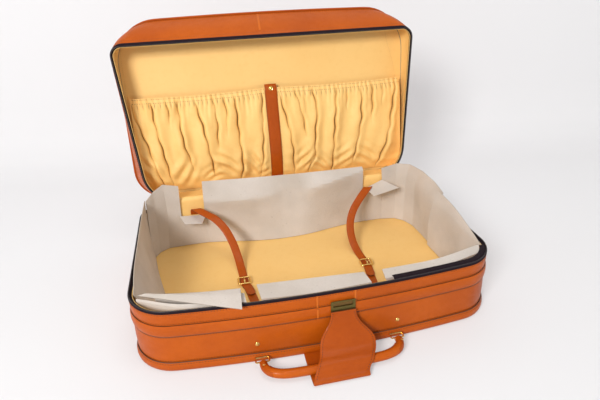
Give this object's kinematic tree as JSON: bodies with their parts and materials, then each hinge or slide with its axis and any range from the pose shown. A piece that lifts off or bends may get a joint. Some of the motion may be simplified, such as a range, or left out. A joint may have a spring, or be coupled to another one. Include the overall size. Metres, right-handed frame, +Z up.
{
  "type": "leather suitcase",
  "caption": "Soft-sided leather zip suitcase lying open, with a gathered lid pocket, buckled inner straps, a card liner, a carrying handle and a folding catch flap.",
  "frame": {"origin": "centre of the base's underside, on the face that the open case rests on", "axes": "+Z up, +Y from the front wall with the handle to the hinge at the back, +X along the front wall to the right"},
  "size_m": [0.6731, 0.6562, 0.5552],
  "materials": {
    "leather": "smooth vegetable-tanned, satin",
    "lining": "matt plain cloth",
    "pocket_cloth": "matt gathered cloth",
    "board": "matt fibreboard",
    "card": "matt grey card",
    "zip_tape": "matt woven tape",
    "zip_chain": "matt",
    "brass": "polished",
    "old_brass": "aged, satin"
  },
  "bodies": {
    "base": {"base_bottom_board": "board", "base_bottom_panel": "leather", "base_lining_floor": "lining", "base_lining_wall": "lining", "base_lower_wall": "leather", "base_ridge_band": "leather", "base_upper_band": "leather", "base_wall_board": "board", "base_welt": "leather", "base_zip_chain": "zip_chain", "base_zip_tape": "zip_tape", "buckle_left": "brass", "buckle_right": "brass", "card_back": "card", "card_front_left": "card", "card_front_middle": "card", "card_front_right": "card", "card_left": "card", "card_right": "card", "flap_fold": "leather", "flap_lower": "leather", "front_stud_left": "brass", "front_stud_right": "brass", "handle_ring_left": "brass", "handle_ring_right": "brass", "hinge_leather": "leather", "hinge_lining": "lining", "strap_left_back": "leather", "strap_left_front": "leather", "strap_right_back": "leather", "strap_right_front": "leather", "zip_slider_left": "brass", "zip_slider_right": "brass"},
    "lid": {"lid_board": "board", "lid_keeper": "brass", "lid_lining_panel": "lining", "lid_lining_wall": "lining", "lid_outer_panel": "leather", "lid_wall": "leather", "lid_wall_board": "board", "lid_welt": "leather", "lid_zip_chain": "zip_chain", "lid_zip_tape": "zip_tape", "pocket_left": "pocket_cloth", "pocket_right": "pocket_cloth", "pocket_snap": "brass", "pocket_strap": "leather"},
    "handle": {"handle_grip": "leather", "handle_rivet_left": "brass", "handle_rivet_right": "brass", "handle_tab_left": "leather", "handle_tab_right": "leather"},
    "flap": {"catch_plate": "old_brass", "flap_upper": "leather"},
    "prong_left_body": {"prong_left": "brass"},
    "prong_right_body": {"prong_right": "brass"},
    "pull_left_body": {"zip_pull_left": "brass"},
    "pull_right_body": {"zip_pull_right": "brass"}
  },
  "joints": [
    {"name": "lid_hinge", "type": "hinge", "parent": "base", "child": "lid", "pos_m": [0, 0.207, 0.1223], "axis": [1, 0, 0], "range_deg": [0, 98], "deforming": ["hinge_leather", "hinge_lining", "card_back", "card_left", "card_right", "card_front_left", "card_front_middle", "card_front_right"]},
    {"name": "handle_swing", "type": "hinge", "parent": "base", "child": "handle", "pos_m": [0, -0.246, 0.012], "axis": [-1, 0, 0], "range_deg": [0, 90]},
    {"name": "flap_fold_hinge", "type": "hinge", "parent": "base", "child": "flap", "pos_m": [0, -0.3078, 0.0038], "axis": [1, 0, 0], "range_deg": [0, 117], "deforming": ["flap_fold"]},
    {"name": "prong_left_hinge", "type": "hinge", "parent": "base", "child": "prong_left_body", "pos_m": [-0.12401, -0.0095, 0.0124], "axis": [1, 0, 0], "range_deg": [0, 35]},
    {"name": "prong_right_hinge", "type": "hinge", "parent": "base", "child": "prong_right_body", "pos_m": [0.14797, -0.0095, 0.0124], "axis": [1, 0, 0], "range_deg": [0, 35]},
    {"name": "zip_pull_left_hinge", "type": "hinge", "parent": "base", "child": "pull_left_body", "pos_m": [-0.25, 0.2106, 0.1005], "axis": [1, 0, 0], "range_deg": [0, 80]},
    {"name": "zip_pull_right_hinge", "type": "hinge", "parent": "base", "child": "pull_right_body", "pos_m": [0.25, 0.2106, 0.1005], "axis": [1, 0, 0], "range_deg": [0, 80]}
  ],
  "couplings": [
    {"joint": "flap_fold_hinge", "follows": "handle_swing", "ratio": 1.3}
  ]
}
